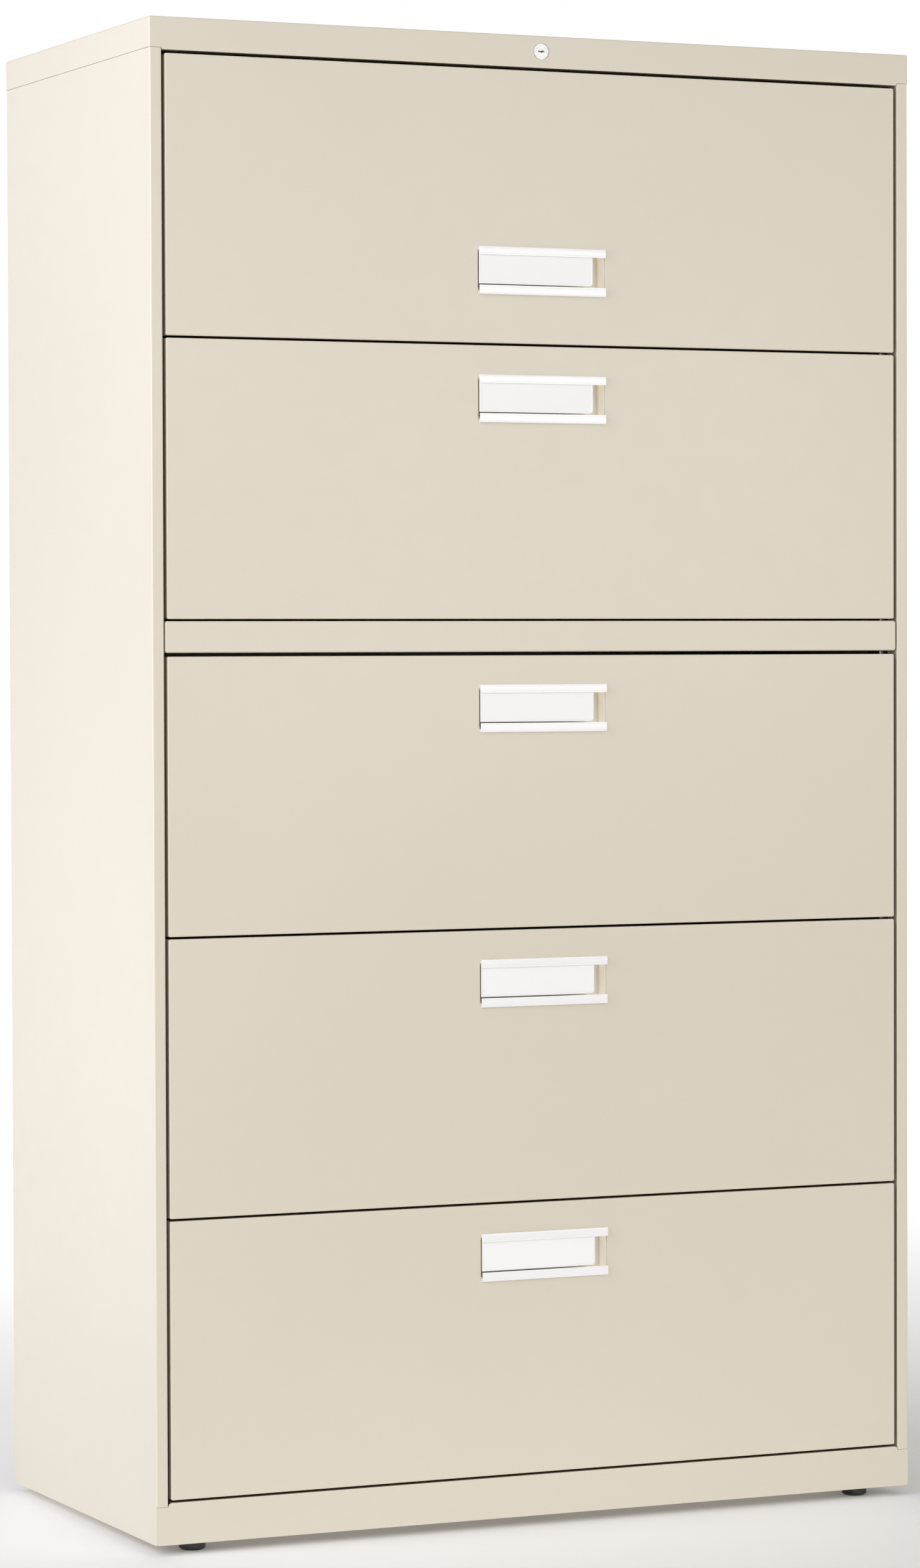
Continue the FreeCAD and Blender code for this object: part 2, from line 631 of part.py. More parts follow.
def lock_rod():
    """Flat bar with a crank slot at the lock and a sloping cam slot at the side."""
    y = (ROD_Y, ROD_Y + ROD_THICK)
    pin_x = -CRANK_R * sin(radians(45))
    bar = box((pin_x - 8.0, 441.0), y, (ROD_LOW, ROD_HIGH))
    yoke = box((pin_x - 8.0, pin_x + 8.0), y, (ROD_LOW - 4.0, ROD_HIGH))
    through = (ROD_Y - 1, ROD_Y + ROD_THICK + 1)
    crank_slot = box((pin_x - 2.0, pin_x + 2.0), through, (LOCK_Z + 3.4, LOCK_Z + 10.4))
    low = BAR_PIN[1] - 5.3
    plate = box((BAR_PIN[0] - LOCK_THROW - 7.0, 441.0), y, (low, ROD_HIGH))
    wide = BAR_PIN_R + 0.4
    slot = [rod(wide, (BAR_PIN[0], ROD_Y - 1, BAR_PIN[1]), ALONG_Y, 4.0)]
    slot.append(rod(wide, (BAR_PIN[0] - LOCK_THROW, ROD_Y - 1, BAR_PIN[1] + LOCK_THROW), ALONG_Y, 4.0))
    long = LOCK_THROW * 2 ** 0.5
    run = box((-long, 0), through, (-wide, wide))
    run.rotate(V(0, 0, 0), ALONG_Y, 45)
    run.translate(V(BAR_PIN[0], 0, BAR_PIN[1]))
    return bar.fuse([yoke, plate]).cut(slot + [run, crank_slot]).removeSplitter()


def lock_bar():
    """Vertical gang bar with an arm and pin welded to its top and a tab at each drawer."""
    bar = box(BAR_X, BAR_Y, (BAR_BOTTOM, BAR_PIN[1] + 5.0))
    arm = box((BAR_PIN[0] - 4.0, BAR_X[0]), BAR_Y, (BAR_PIN[1] - 5.0, BAR_PIN[1] + 5.0))
    pin = rod(BAR_PIN_R, (BAR_PIN[0], BAR_Y[1], BAR_PIN[1]), ALONG_Y, 8.0)
    tabs = []
    for bottom in DRAWER_BOTTOMS:
        z = bottom + TAB_RISE
        tabs.append(box((BAR_X[0] - 4.3, BAR_X[0]), BAR_Y, (z - 6.0, z + 6.0)))
    return group([bar, arm, pin] + tabs)


def lock_bar_guides():
    """U-shaped keepers on the side wall, round the lock bar."""
    keepers = []
    near = BAR_Y[0] - 1.6
    far = BAR_Y[1] + 1.6
    for z in (180.0, 560.0, 940.0, 1320.0, 1545.0):
        path = [(BAR_X[0] + 2.0, near), (SIDE_IN, near), (SIDE_IN, far), (BAR_X[0] + 2.0, far)]
        keepers.append(folded(path, 1.1, 1.4, plan(z), V(0, 0, 20.0)))
    return group(keepers)


# ================================================================ glides
def glide(x, y):
    """Levelling glide: hexagonal foot with a chamfered sole, on a stem."""
    turns = [i * pi / 3 for i in range(7)]
    flats = [V(x + GLIDE_R * cos(turn), y + GLIDE_R * sin(turn), 0) for turn in turns]
    hexagon = Part.Face(Part.makePolygon(flats)).extrude(V(0, 0, GLIDE_HIGH))
    dome = Part.makeCone(GLIDE_R - 4.2, GLIDE_R + 1.2, 5.0, V(x, y, 0), ALONG_Z)
    skirt = rod(GLIDE_R - 0.6, (x, y, 5.0), ALONG_Z, GLIDE_HIGH - 5.0)
    foot = hexagon.common(dome.fuse(skirt))
    stem = rod(STEM_R, (x, y, GLIDE_HIGH - 1), ALONG_Z, STEM_TOP - GLIDE_HIGH + 1)
    return foot.fuse(stem).removeSplitter()


# ================================================================ export
def fixed_nodes():
    side = side_panel()
    return {
        "left_side_panel": mirrored(side),
        "right_side_panel": side,
        "back_panel": back_panel(),
        "top_cap": top_cap(),
        "base_front_rail": base_front_rail(),
        "bottom_pan": bottom_pan(),
        "slide_posts": slide_posts(),
        "case_slides": case_slides(),
        "posting_shelf_guides": posting_shelf_guides(),
        "door_tracks": door_tracks(),
        "counterweight": counterweight(),
        "case_screws": case_screws(),
        "glide_brackets": glide_brackets(),
        "lock_housing": lock_housing(),
        "lock_bar_guides": lock_bar_guides(),
    }


def drawer_nodes(number, bottom):
    name = "drawer_%d_" % number
    return {
        name + "front": folded_front(bottom, False),
        name + "tray": tray(bottom),
        name + "pull": pull(bottom, False),
        name + "label": label(bottom, False),
        name + "inner_slides": inner_slides(bottom),
        name + "middle_slides": middle_slides(bottom),
        name + "file_rails": file_rails(bottom),
    }


def top_nodes():
    level = DOOR_BOTTOM + SHELF_RISE
    return {
        "door_panel": door_panel(),
        "door_pull": pull(DOOR_BOTTOM, True),
        "door_label": label(DOOR_BOTTOM, True),
        "door_carriage": door_carriage(),
        "door_tie_shaft": door_tie_shaft(),
        "shelf_tray": shelf_tray(),
        "shelf_inner_slides": both_sides(inner_member(level, SHELF_SLIDE)),
        "shelf_middle_slides": both_sides(middle_member(level, SHELF_SLIDE)),
    }


def other_nodes():
    nodes = {
        "posting_shelf": posting_shelf(),
        "lock_plug": lock_plug(),
        "lock_rod": lock_rod(),
        "lock_bar": lock_bar(),
    }
    for depth, y in zip(("front", "rear"), GLIDE_Y):
        for hand, x in (("left", -GLIDE_X), ("right", GLIDE_X)):
            nodes["glide_%s_%s" % (depth, hand)] = glide(x, y)
    return nodes


nodes = fixed_nodes()
for index, level_bottom in enumerate(DRAWER_BOTTOMS):
    nodes.update(drawer_nodes(index + 1, level_bottom))
nodes.update(top_nodes())
nodes.update(other_nodes())

os.makedirs("parts", exist_ok=True)
for name, shape in nodes.items():
    shape.exportStep("parts/" + name + ".step")
    volume = shape.Volume / 1000
    print("%-24s solids %2d  valid %s  cm3 %8.1f" % (name, len(shape.Solids), shape.isValid(), volume))
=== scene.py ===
import json
from math import cos, hypot, pi, radians, sin, tan

import bmesh
import bpy
from mathutils import Matrix, Vector

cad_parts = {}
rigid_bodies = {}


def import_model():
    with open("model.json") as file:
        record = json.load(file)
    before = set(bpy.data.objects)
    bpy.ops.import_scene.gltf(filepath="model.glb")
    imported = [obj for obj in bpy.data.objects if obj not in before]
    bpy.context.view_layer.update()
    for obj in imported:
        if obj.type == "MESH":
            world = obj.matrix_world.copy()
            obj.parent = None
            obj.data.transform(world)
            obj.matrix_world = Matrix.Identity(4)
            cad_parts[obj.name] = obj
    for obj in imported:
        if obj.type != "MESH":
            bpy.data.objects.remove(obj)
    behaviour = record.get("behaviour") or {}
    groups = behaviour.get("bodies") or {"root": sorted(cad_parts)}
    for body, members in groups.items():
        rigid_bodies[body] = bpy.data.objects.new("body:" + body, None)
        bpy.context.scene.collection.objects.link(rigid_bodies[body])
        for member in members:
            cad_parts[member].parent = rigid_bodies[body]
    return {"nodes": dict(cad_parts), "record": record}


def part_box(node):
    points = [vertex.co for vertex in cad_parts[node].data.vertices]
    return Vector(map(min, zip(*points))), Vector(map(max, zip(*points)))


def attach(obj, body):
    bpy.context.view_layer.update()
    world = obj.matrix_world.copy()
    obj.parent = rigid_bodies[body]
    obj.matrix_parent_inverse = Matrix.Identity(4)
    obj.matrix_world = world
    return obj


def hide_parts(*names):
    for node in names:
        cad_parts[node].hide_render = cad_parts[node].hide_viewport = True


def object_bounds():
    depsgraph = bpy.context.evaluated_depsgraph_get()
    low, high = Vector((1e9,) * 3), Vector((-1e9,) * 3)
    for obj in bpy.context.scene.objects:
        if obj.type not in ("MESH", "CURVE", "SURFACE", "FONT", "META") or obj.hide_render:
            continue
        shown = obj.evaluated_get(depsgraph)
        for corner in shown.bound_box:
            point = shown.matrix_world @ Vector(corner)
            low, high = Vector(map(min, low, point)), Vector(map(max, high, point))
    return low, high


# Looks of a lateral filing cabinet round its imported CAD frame. Metres, +Z up, -Y is the front.
for leftover in list(bpy.data.objects):
    bpy.data.objects.remove(leftover)
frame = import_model()
cad_low, cad_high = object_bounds()

MM = 0.001
NODES = frame["nodes"]
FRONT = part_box("base_front_rail")[0].y      # face of the fronts
CUP_DEEP = 20 * MM                          # finger cup behind each pull
DRAWERS = ("drawer_1", "drawer_2", "drawer_3", "drawer_4")
PANELS = {drawer: drawer + "_front" for drawer in DRAWERS} | {"door": "door_panel"}

# ---------------------------------------------------------------- paint colours
PAINT_LOW = (0.744, 0.690, 0.573, 1)
PAINT_HIGH = (0.760, 0.706, 0.590, 1)
PAINT_FLECK = (0.700, 0.642, 0.522, 1)
# paler edge paint: part wear, part painted highlight
PAINT_EDGE_WEAR_AND_HIGHLIGHT = (0.80, 0.745, 0.64, 1)
# painted shade for narrow gaps
PAINT_GAP_SHADE = (0.28, 0.20, 0.13, 1)
# painted light: pale paint inside a finger cup
PAINT_CUP_LIGHT = (0.985, 0.92, 0.80, 1)
CUP_LIFT = 0.30                 # glow of a cup's walls, in place of light that it would catch

# ---------------------------------------------------------------- camera and light
VIEW_YAW = radians(24.35)
VIEW_PITCH = radians(-1.56)
VIEW_ROLL = radians(-0.18)
VIEW_FROM = Vector((-2.344, -5.185, 0.965))
LENS = 114.96
SENSOR = 36.0


# ================================================================ materials
class Finish:
    """A procedural material whose patterns follow the piece's own coordinates, in metres."""

    def __init__(self, name, **settings):
        self.material = bpy.data.materials.new(name)
        self.material.use_nodes = True
        self.tree = self.material.node_tree
        self.shader = self.tree.nodes["Principled BSDF"]
        for socket, value in settings.items():
            self.shader.inputs[socket.replace("_", " ")].default_value = value
        self.place = self.node("ShaderNodeTexCoord").outputs["Object"]

    def node(self, kind, feeds=(), **settings):
        made = self.tree.nodes.new(kind)
        for key, value in settings.items():
            setattr(made, key, value)
        for socket, value in dict(feeds).items():
            self.feed(made.inputs[socket], value)
        return made

    def feed(self, socket, value):
        if isinstance(value, bpy.types.NodeSocket):
            self.tree.links.new(value, socket)
        else:
            socket.default_value = value

    def axis(self, name):
        """The piece's own coordinate along one axis."""
        return self.node("ShaderNodeSeparateXYZ", {"Vector": self.place}).outputs[name]

    def noise(self, scale, detail=2.0, stretch=None):
        """Noise from 0 to 1 with scale waves in a metre."""
        place = self.place
        if stretch:
            place = self.node("ShaderNodeMapping", {"Vector": place, "Scale": stretch}).outputs[0]
        feeds = {"Vector": place, "Scale": scale, "Detail": detail}
        return self.node("ShaderNodeTexNoise", feeds).outputs["Fac"]

    def spread(self, value, low, high, to_low=0.0, to_high=1.0):
        feeds = {"Value": value, "From Min": low, "From Max": high, "To Min": to_low, "To Max": to_high}
        return self.node("ShaderNodeMapRange", feeds).outputs[0]

    def math(self, operation, a, b):
        return self.node("ShaderNodeMath", {0: a, 1: b}, operation=operation).outputs[0]

    def mix(self, share, a, b):
        feeds = {0: share, 6: a, 7: b}
        return self.node("ShaderNodeMix", feeds, data_type="RGBA").outputs[2]

    def edges(self, radius, least):
        """1 on edges sharper than radius, 0 on flat faces."""
        soft = self.node("ShaderNodeBevel", {"Radius": radius}, samples=6).outputs[0]
        sharp = self.node("ShaderNodeNewGeometry").outputs["Normal"]
        dot = self.node("ShaderNodeVectorMath", {0: soft, 1: sharp}, operation="DOT_PRODUCT")
        return self.spread(dot.outputs["Value"], 0.995, least)

    def openness(self, depth):
        """0 in gaps much narrower than depth, 1 on open faces."""
        sky = self.node("ShaderNodeAmbientOcclusion", {"Distance": depth}, samples=6).outputs["AO"]
        return self.spread(sky, 0.12, 0.45)

    def bump(self, layers, soften=None):
        """Feeds the shader's normal from (height, depth in metres) layers over softened edges."""
        normal = None
        if soften:
            normal = self.node("ShaderNodeBevel", {"Radius": soften}, samples=6).outputs[0]
        for height, depth in layers:
            feeds = {"Height": height, "Distance": depth, "Strength": 1.0}
            if normal:
                feeds["Normal"] = normal
            normal = self.node("ShaderNodeBump", feeds).outputs[0]
        self.feed(self.shader.inputs["Normal"], normal)

    def colour(self, value):
        self.feed(self.shader.inputs["Base Color"], value)

    def roughness(self, value, low, high):
        self.feed(self.shader.inputs["Roughness"], self.spread(value, 0.3, 0.7, low, high))


def putty_paint(name, holder=None):
    """Satin powder coat: orange peel, soft mottling, thin pale edges that are part wear and part painted
    highlight, and painted shade in narrow gaps.

    On the front of a holder the inside of the finger cup is painted paler and glows faintly, as painted light
    in place of light that it would catch.
    """
    finish = Finish(name, IOR=1.5, Coat_Weight=0.12, Coat_Roughness=0.22)
    cloud = finish.spread(finish.noise(2.2, 3.0), 0.35, 0.65)
    tone = finish.mix(cloud, PAINT_LOW, PAINT_HIGH)
    fleck = finish.spread(finish.noise(1500.0, 2.0), 0.56, 0.72, 0.0, 0.35)
    tone = finish.mix(fleck, tone, PAINT_FLECK)
    # Painted highlight and wear: sharp edges get paler paint, broken up by noise.
    wear_and_highlight_breakup = finish.spread(finish.noise(45.0, 4.0), 0.3, 0.7, 0.25, 0.8)
    worn_and_highlit = finish.math("MULTIPLY", finish.edges(0.0012, 0.75), wear_and_highlight_breakup)
    tone = finish.mix(worn_and_highlit, tone, PAINT_EDGE_WEAR_AND_HIGHLIGHT)
    # Painted shade: the paint turns dark brown in gaps much narrower than 9 mm.
    tone = finish.mix(finish.openness(0.009), PAINT_GAP_SHADE, tone)
    if holder:
        # Painted light: the inside of the finger cup is paler and glows, in place of light that reaches into
        # it.
        cup = in_cup(finish, holder)
        tone = finish.mix(cup, tone, PAINT_CUP_LIGHT)
        finish.shader.inputs["Emission Color"].default_value = PAINT_CUP_LIGHT
        back = FRONT + CUP_DEEP
        lift = finish.spread(finish.axis("Y"), back - 4 * MM, back, CUP_LIFT, 0.0)
        finish.feed(finish.shader.inputs["Emission Strength"], finish.math("MULTIPLY", cup, lift))
    finish.colour(tone)
    finish.roughness(finish.noise(35.0, 4.0), 0.36, 0.44)
    finish.bump([(finish.noise(420.0, 2.0), 0.00005), (finish.noise(1600.0, 2.0), 0.000015)], soften=0.0003)
    return finish.material


def in_cup(finish, holder):
    """1 inside the finger cup of a front, 0 outside."""
    low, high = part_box(holder + "_pull")
    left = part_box(holder + "_label")[1].x - 1 * MM
    margin = 1.5 * MM
    tests = [
        finish.spread(finish.axis("X"), left, left + 3 * MM),
        finish.math("LESS_THAN", finish.axis("X"), high.x + margin),
        finish.spread(finish.axis("Y"), FRONT + 0.8 * MM, FRONT + 2.5 * MM),
        finish.math("LESS_THAN", finish.axis("Y"), FRONT + CUP_DEEP + 0.6 * MM),
        finish.math("GREATER_THAN", finish.axis("Z"), low.z - margin),
        finish.math("LESS_THAN", finish.axis("Z"), high.z + margin),
    ]
    inside = tests[0]
    for test in tests[1:]:
        inside = finish.math("MULTIPLY", inside, test)
    return inside


def satin_aluminium():
    """White satin extrusion with fine lines along its length."""
    finish = Finish("satin_aluminium", Metallic=0.08, Specular_IOR_Level=0.5)
    lines = finish.noise(900.0, 2.0, (0.012, 1.0, 1.0))
    streaks = finish.spread(lines, 0.3, 0.7)
    finish.colour(finish.mix(streaks, (0.965, 0.97, 0.97, 1), (0.99, 0.99, 0.99, 1)))
    finish.roughness(finish.noise(300.0, 3.0, (0.05, 1.0, 1.0)), 0.28, 0.36)
    finish.bump([(lines, 0.000008)], soften=0.0002)
    return finish.material


def label_card():
    """Matt white card stock with a faint fibre."""
    finish = Finish("label_card", Specular_IOR_Level=0.3)
    fibre = finish.noise(2400.0, 4.0, (1.0, 1.0, 0.35))
    flock = finish.spread(fibre, 0.3, 0.7)
    finish.colour(finish.mix(flock, (0.985, 0.99, 0.995, 1), (0.995, 0.995, 0.995, 1)))
    finish.roughness(fibre, 0.72, 0.86)
    finish.bump([(fibre, 0.00001)])
    return finish.material


def carrier_plastic():
    """Glossy white plastic of the label carrier."""
    finish = Finish("carrier_plastic", IOR=1.49)
    swirl = finish.noise(60.0, 3.0)
    finish.colour(finish.mix(swirl, (0.95, 0.95, 0.95, 1), (0.985, 0.985, 0.985, 1)))
    finish.roughness(swirl, 0.18, 0.28)
    finish.bump([(finish.noise(500.0, 2.0), 0.000006)], soften=0.0002)
    return finish.material


def lock_nickel():
    """Bright nickel plate with fine handling scratches."""
    finish = Finish("lock_nickel", Metallic=0.45)
    scratch = finish.noise(500.0, 3.0, (0.1, 1.0, 1.0))
    streaks = finish.spread(scratch, 0.3, 0.7)
    finish.colour(finish.mix(streaks, (0.95, 0.94, 0.93, 1), (0.99, 0.985, 0.975, 1)))
    finish.roughness(scratch, 0.22, 0.34)
    finish.bump([(scratch, 0.000005)], soften=0.0002)
    return finish.material


def zinc_plate():
    """Zinc-plated steel: faint spangle, drawing lines front to back, duller patches."""
    finish = Finish("zinc_plate", Metallic=1.0)
    cells = finish.node("ShaderNodeTexVoronoi", {"Vector": finish.place, "Scale": 160.0}).outputs["Color"]
    grey = finish.node("ShaderNodeRGBToBW", {"Color": cells}).outputs[0]
    lines = finish.noise(700.0, 3.0, (1.0, 0.02, 1.0))
    tone = finish.mix(grey, (0.56, 0.57, 0.575, 1), (0.66, 0.67, 0.68, 1))
    dull = finish.spread(finish.noise(18.0, 4.0), 0.42, 0.7, 0.0, 0.5)
    finish.colour(finish.mix(dull, tone, (0.56, 0.555, 0.53, 1)))
    finish.roughness(finish.math("MULTIPLY", finish.math("ADD", lines, dull), 0.7), 0.28, 0.46)
    finish.bump([(lines, 0.00001)], soften=0.0003)
    return finish.material


def black_lacquer():
    """Lacquered cast slab with a coarse skin."""
    finish = Finish("black_lacquer", IOR=1.5)
    skin = finish.noise(180.0, 5.0)
    finish.colour(finish.mix(skin, (0.022, 0.022, 0.023, 1), (0.05, 0.048, 0.046, 1)))
    finish.roughness(skin, 0.38, 0.6)
    finish.bump([(skin, 0.0003)], soften=0.0006)
    return finish.material


def glide_plastic():
    """Black moulded nylon: fine spark texture, scuffed paler on its edges."""
    finish = Finish("glide_plastic", IOR=1.53)
    spark = finish.noise(2200.0, 3.0)
    tone = finish.mix(spark, (0.016, 0.016, 0.017, 1), (0.034, 0.033, 0.032, 1))
    scuff = finish.math("MULTIPLY", finish.edges(0.0008, 0.8), finish.noise(160.0, 4.0))
    finish.colour(finish.mix(scuff, tone, (0.13, 0.125, 0.12, 1)))
    finish.roughness(finish.noise(90.0, 3.0), 0.24, 0.36)
    finish.bump([(spark, 0.00003)], soften=0.0004)
    return finish.material


def polished_steel():
    """Bearing balls."""
    finish = Finish("polished_steel", Metallic=1.0)
    film = finish.noise(400.0, 3.0)
    finish.colour(finish.mix(film, (0.74, 0.75, 0.76, 1), (0.86, 0.87, 0.88, 1)))
    finish.roughness(film, 0.08, 0.18)
    return finish.material


def yellow_zinc():
    """Yellow-passivated zinc of the ball cages."""
    finish = Finish("yellow_zinc", Metallic=1.0)
    film = finish.noise(60.0, 4.0)
    finish.colour(finish.mix(film, (0.72, 0.60, 0.34, 1), (0.66, 0.66, 0.48, 1)))
    finish.roughness(film, 0.28, 0.42)
    finish.bump([(finish.noise(900.0, 2.0), 0.000008)])
    return finish.material


def soft_rubber():
    """Matt grey-black rubber of the bumpers, dusty in its pores."""
    finish = Finish("soft_rubber", IOR=1.5, Specular_IOR_Level=0.3)
    pores = finish.noise(1200.0, 4.0)
    dust = finish.spread(pores, 0.4, 0.7)
    finish.colour(finish.mix(dust, (0.03, 0.03, 0.031, 1), (0.085, 0.08, 0.076, 1)))
    finish.roughness(pores, 0.7, 0.85)
    finish.bump([(pores, 0.00003)], soften=0.0003)
    return finish.material


FINISHES = {
    "putty_paint": putty_paint("putty_paint"),
    "pull_aluminium": satin_aluminium(),
    "label_card": label_card(),
    "lock_nickel": lock_nickel(),
    "zinc_steel": zinc_plate(),
    "black_steel": black_lacquer(),
    "glide_plastic": glide_plastic(),
}
CARRIER = carrier_plastic()
BALLS = polished_steel()
CAGE = yellow_zinc()
RUBBER = soft_rubber()

for part in frame["record"]["subparts"]:
    shown = NODES[part["node"]].data.materials
    shown.clear()
    shown.append(FINISHES[part["material_slot"]])
for holder, panel in PANELS.items():
    NODES[panel].data.materials[0] = putty_paint("putty_paint_" + holder, holder)


# ================================================================ mesh helpers
def piece(name, bm, material, body, smooth=35.0):
    """Makes a bmesh into a piece that rides on a CAD body; edges over smooth degrees stay crisp."""
    bmesh.ops.recalc_face_normals(bm, faces=bm.faces)
    for face in bm.faces:
        face.smooth = True
    for edge in bm.edges:
        edge.smooth = len(edge.link_faces) == 2 and edge.calc_face_angle(0) < radians(smooth)
    data = bpy.data.meshes.new(name)
    bm.to_mesh(data)
    bm.free()
    data.materials.append(material)
    made = bpy.data.objects.new(name, data)
    bpy.context.scene.collection.objects.link(made)
    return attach(made, body)


def rounded_loop(corners, steps=5):
    """Points of a closed outline through corners (u, v, radius)."""
    points = []
    count = len(corners)
    for i, (u, v, radius) in enumerate(corners):
        here = Vector((u, v))
        back = (Vector(corners[i - 1][:2]) - here).normalized()
        ahead = (Vector(corners[(i + 1) % count][:2]) - here).normalized()
        half = back.angle(ahead) / 2
        reach = radius / tan(half)
        centre = here + (back + ahead).normalized() * hypot(radius, reach)
        first = here + back * reach - centre
        last = here + ahead * reach - centre
        for k in range(steps + 1):
            points.append(centre + first.lerp(last, k / steps).normalized() * radius)
            if not radius:
                break
    return points


def prism(bm, outline, sweep):
    """Adds a closed prism from an outline of points; sweep carries it to the far end."""
    near = [bm.verts.new(p) for p in outline]
    far = [bm.verts.new(v.co + sweep) for v in near]
    bm.faces.new(near)
    bm.faces.new(list(reversed(far)))
    for i, vert in enumerate(near):
        j = (i + 1) % len(near)
        bm.faces.new((near[j], vert, far[i], far[j]))


def lathe(bm, rings, centre, axis, turns=24):
    """Adds a closed turned shape through rings (distance along axis, radius)."""
    side = axis.orthogonal().normalized()
    other = axis.cross(side)
    loops = []
    for along, radius in rings:
        middle = centre + axis * along
        if radius == 0:
            loops.append([bm.verts.new(middle)])
            continue
        loop = []
        for k in range(turns):
            angle = 2 * pi * k / turns
            loop.append(bm.verts.new(middle + (side * cos(angle) + other * sin(angle)) * radius))
        loops.append(loop)
    for low, high in zip(loops, loops[1:]):
        for k in range(turns):
            n = (k + 1) % turns
            quad = [low[k % len(low)], low[n % len(low)], high[n % len(high)], high[k % len(high)]]
            bm.faces.new(list(dict.fromkeys(quad)))


# ================================================================ pulls and labels
UPPER_RAIL = 9.5 * MM
LOWER_RAIL = 10.3 * MM


def rail_section(tall, sign):
    """Outline of a grip rail from its fold at the outer edge; sign -1 hangs it down."""
    deep = FRONT - cad_low.y
    wall = 1.0 * MM
    flange = 4.0 * MM
    edge = 0.35 * MM
    outer_bend = (1.3 * MM, 0.5 * MM)
    inner_bend = 0.4 * MM
    tip = 0.2 * MM
    groove_in = 1.9 * MM
    groove_half = 0.26 * MM
    groove_deep = 0.24 * MM
    groove_round = 0.12 * MM
    corners = [(-deep, tall, edge)]
    for groove in (tall - groove_in, groove_in):
        corners.append((-deep, groove + groove_half, groove_round))
        corners.append((-deep + groove_deep, groove, groove_round))
        corners.append((-deep, groove - groove_half, groove_round))
    corners += [(-deep, 0, outer_bend[0]), (0, 0, outer_bend[1]), (0, flange, tip), (-wall, flange, tip)]
    corners += [(-wall, wall, inner_bend), (wall - deep, wall, inner_bend), (wall - deep, tall, edge)]
    return [(u, v * sign, radius) for u, v, radius in corners]


def grip(body, node):
    """The two extruded rails of a pull."""
    low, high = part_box(node)
    along = Vector((high.x - low.x, 0, 0))
    bm = bmesh.new()
    for fold, tall, sign in ((high.z, UPPER_RAIL, -1), (low.z, LOWER_RAIL, 1)):
        loop = rounded_loop(rail_section(tall, sign))
        prism(bm, [(low.x, FRONT + u, fold + v) for u, v in loop], along)
    made = piece(body + "_grip", bm, FINISHES["pull_aluminium"], body, 20.0)
    soften = made.modifiers.new("ends", "BEVEL")
    soften.width = 0.12 * MM
    soften.segments = 2
    soften.limit_method = "ANGLE"
    soften.angle_limit = radians(60)
    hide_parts(node)


def carrier(body, node):
    """Label carrier plate with a raised border round a sunk card."""
    low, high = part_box(node)
    face = low.y
    round_corner = 4.0 * MM
    corner = 0.6 * MM
    border = 1.7 * MM
    bevel = 0.15 * MM
    lip = (0.1 * MM, 0.12 * MM)
    sunk = 0.3 * MM
    card_gap = 0.05 * MM
    card_back = face + 0.29 * MM
    card_thick = 0.17 * MM

    def outline(inset, y):
        x0 = low.x + inset
        x1 = high.x - inset
        z0 = low.z + inset
        z1 = high.z - inset
        round_off = max(round_corner - inset, corner)
        corners = [(x0, z0, corner), (x1, z0, round_off), (x1, z1, corner), (x0, z1, corner)]
        return [Vector((u, y, v)) for u, v in rounded_loop(corners, 8)]

    bm = bmesh.new()
    levels = [(0.0, high.y), (0.0, face + bevel), (bevel, face), (border - lip[0], face)]
    levels += [(border, face + lip[1]), (border, face + sunk)]
    loops = [[bm.verts.new(p) for p in outline(inset, y)] for inset, y in levels]
    bm.faces.new(loops[0])
    bm.faces.new(list(reversed(loops[-1])))
    for inner, outer in zip(loops, loops[1:]):
        for i, vert in enumerate(inner):
            j = (i + 1) % len(inner)
            bm.faces.new((inner[j], vert, outer[i], outer[j]))
    made = piece(body + "_label_carrier", bm, CARRIER, body)
    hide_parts(node)
    bm = bmesh.new()
    prism(bm, outline(border + card_gap, card_back), Vector((0, -card_thick, 0)))
    piece(body + "_label_card", bm, FINISHES["label_card"], body)


for holder in PANELS:
    grip(holder, holder + "_pull")
    carrier(holder, holder + "_label")


# ================================================================ ball bearings of the slides
def ball(bm, centre, radius):
    bmesh.ops.create_icosphere(bm, subdivisions=2, radius=radius, matrix=Matrix.Translation(centre))


def cage_section(web, lip, reach, thick):
    """U outline of a ball cage: its web stands at x web and its flanges end at x lip."""
    inward = thick if lip > web else -thick
    bend = 0.3 * MM
    corners = [(lip, reach, 0), (web, reach, bend), (web, -reach, bend), (lip, -reach, 0)]
    corners += [(lip, -reach + thick, 0), (web + inward, -reach + thick, 0)]
    corners += [(web + inward, reach - thick, 0), (lip, reach - thick, 0)]
    return corners


